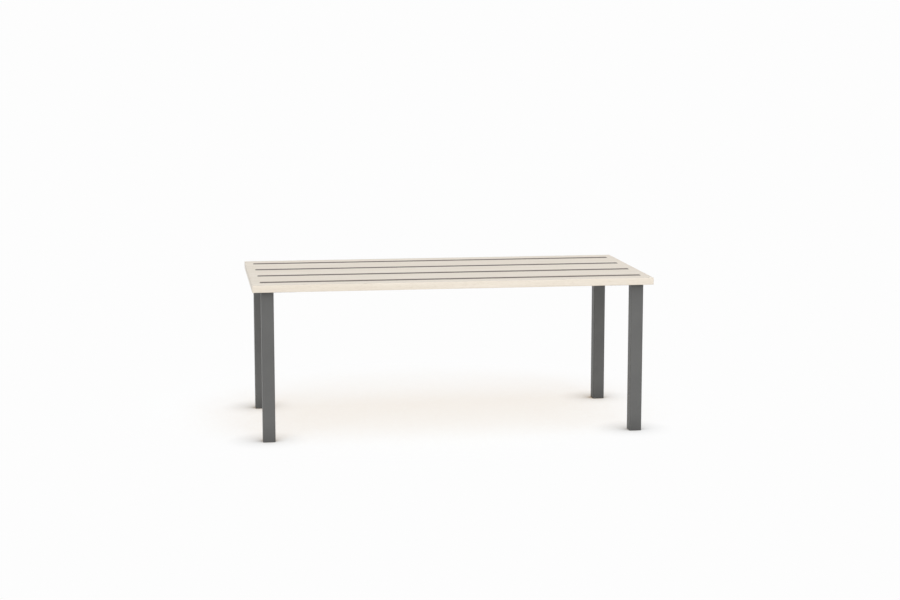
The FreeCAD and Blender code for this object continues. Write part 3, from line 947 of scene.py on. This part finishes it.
def fading(tree, distance, near, far):
    """1 up to the near distance and 0 beyond the far one, with a smooth slope between."""
    inputs = {"Value": distance, "From Min": near, "From Max": far, "To Min": 1.0, "To Max": 0.0}
    made = add_node(tree, "ShaderNodeMapRange", inputs, interpolation_type="SMOOTHSTEP")
    return made.outputs["Result"]


def either(tree, share, first, second):
    """The first shader where the share is 0, and the second where it is 1."""
    return add_node(tree, "ShaderNodeMixShader", {0: share, 1: first, 2: second}).outputs[0]


print("helpers for light:", looked_at.__name__, fading.__name__, either.__name__)

# %% The floor's finish
WHITE = 0.983
BLACK = (0, 0, 0, 1)
FLOOR_BOUNCE = (0.85, 0.85, 0.85, 1)
FLOOR_LIGHT = 0.80  # what the lamps and the sky give an open floor
SHADOW_SHARE = (0.24, 0.39, 0.54, 1)
CONTACT_REACH = 105 * MM
CONTACT_SHARE = 1.05
CONTACT_TILT = (0.12, -0.30, 0.95)
SHADE_MIDDLE = (-0.06, 0.20, 0)
SHADE_SPREAD = (0.80, 0.65, 1)
SHADE_EDGE = (0.75, 1.15)


def shadow_share(tree, place):
    """The share of lamp light that counts: whole inside an oval round the bench, 0 beyond it.
    The oval's distance is the length of the place from its middle, divided by its spread."""
    moved = vector_node(tree, "SUBTRACT", place, SHADE_MIDDLE)
    outward = vector_node(tree, "LENGTH", vector_node(tree, "DIVIDE", moved, SHADE_SPREAD))
    return blend_colours(tree, fading(tree, outward, *SHADE_EDGE), BLACK, SHADOW_SHARE)


def contact_glow(tree):
    """White, less the contact's share of what the bench hides from the floor close by."""
    tilt = add_node(tree, "ShaderNodeCombineXYZ", dict(zip("XYZ", CONTACT_TILT))).outputs[0]
    near = add_node(tree, "ShaderNodeAmbientOcclusion", {"Distance": CONTACT_REACH, "Normal": tilt})
    hidden = math_node(tree, "SUBTRACT", 1.0, near.outputs["AO"])
    return math_node(tree, "SUBTRACT", WHITE, math_node(tree, "MULTIPLY", hidden, CONTACT_SHARE))


def floor_finish():
    """Seen: the light's share, plus the glow less what that share adds to an open floor. For
    other light: matt white. From below: clear."""
    finish = bpy.data.materials.new("floor")
    finish.use_nodes = True
    tree = finish.node_tree
    tree.nodes.clear()
    place = tree.nodes.new("ShaderNodeTexCoord").outputs["Object"]
    share = shadow_share(tree, place)
    taken = vector_node(tree, "MULTIPLY", share, (FLOOR_LIGHT,) * 3)
    glow = vector_node(tree, "SUBTRACT", contact_glow(tree), taken)
    lit = add_node(tree, "ShaderNodeBsdfDiffuse", {"Color": share})
    own = add_node(tree, "ShaderNodeEmission", {"Color": glow})
    seen = add_node(tree, "ShaderNodeAddShader", {0: lit.outputs[0], 1: own.outputs[0]})
    bounce = add_node(tree, "ShaderNodeBsdfDiffuse", {"Color": FLOOR_BOUNCE})
    above = either(tree, looked_at(tree), bounce.outputs[0], seen.outputs[0])
    below = tree.nodes.new("ShaderNodeNewGeometry").outputs["Backfacing"]
    clear = tree.nodes.new("ShaderNodeBsdfTransparent").outputs[0]
    both = either(tree, below, above, clear)
    add_node(tree, "ShaderNodeOutputMaterial", {"Surface": both})
    return finish


floor_material = floor_finish()
print("floor finish:", len(floor_material.node_tree.nodes), "nodes")

# %% Make the floor
FLOOR_HALF = 40.0

floor_corners = FLOOR_HALF * np.array([[-1, -1, 0], [1, -1, 0], [1, 1, 0], [-1, 1, 0]])
floor_mesh = bpy.data.meshes.new("floor")
floor_mesh.from_pydata(floor_corners, [], [(0, 1, 2, 3)])
floor_mesh.materials.append(floor_material)
floor = bpy.data.objects.new("floor", floor_mesh)
bpy.context.scene.collection.objects.link(floor)
print("floor, m:", 2 * FLOOR_HALF)

# %% [markdown]
# ## Light
#
# Soft light comes from three places, as in a studio: an even sky, a broad lamp overhead that
# gives the shadow its direction, and a lower, wider one in front. The front lamp is why the
# board's edge is a little brighter than its face. Area lamps could do this too, but their light
# falls off along the bench. A Sun lamp has none of that, and its angle makes it soft. Together
# they light a level surface to about 0.8 and an upright front to about 1, so a colour looks as
# it is written.

# %% The sky and the white backdrop
SKY = 0.44
LIGHT_COLOUR = (1, 1, 1, 1)


def even_light(tree, strength):
    """Light of one strength from every direction."""
    inputs = {"Color": LIGHT_COLOUR, "Strength": strength}
    return add_node(tree, "ShaderNodeBackground", inputs).outputs[0]


world = bpy.data.worlds.new("studio")
world.use_nodes = True
world_tree = world.node_tree
world_tree.nodes.clear()
sky = even_light(world_tree, SKY)
backdrop = even_light(world_tree, WHITE)
studio = either(world_tree, looked_at(world_tree), sky, backdrop)
add_node(world_tree, "ShaderNodeOutputWorld", {"Surface": studio})
bpy.context.scene.world = world
print("sky:", SKY, "backdrop:", WHITE)

# %% The two lamps
LAMPS = {
    # energy, then in degrees: width, height above the horizon, and place right of the front
    "overhead_lamp": (0.74, 45, 73, 25),
    "front_lamp": (1.58, 70, 20, -14),
}

for name, (energy, width, height, turn) in LAMPS.items():
    lamp_data = bpy.data.lights.new(name, "SUN")
    lamp_data.energy = energy
    lamp_data.angle = math.radians(width)
    lamp = bpy.data.objects.new(name, lamp_data)
    lamp.rotation_euler = (math.radians(90 - height), 0, math.radians(turn))
    bpy.context.scene.collection.objects.link(lamp)
    print(name, "energy:", energy)
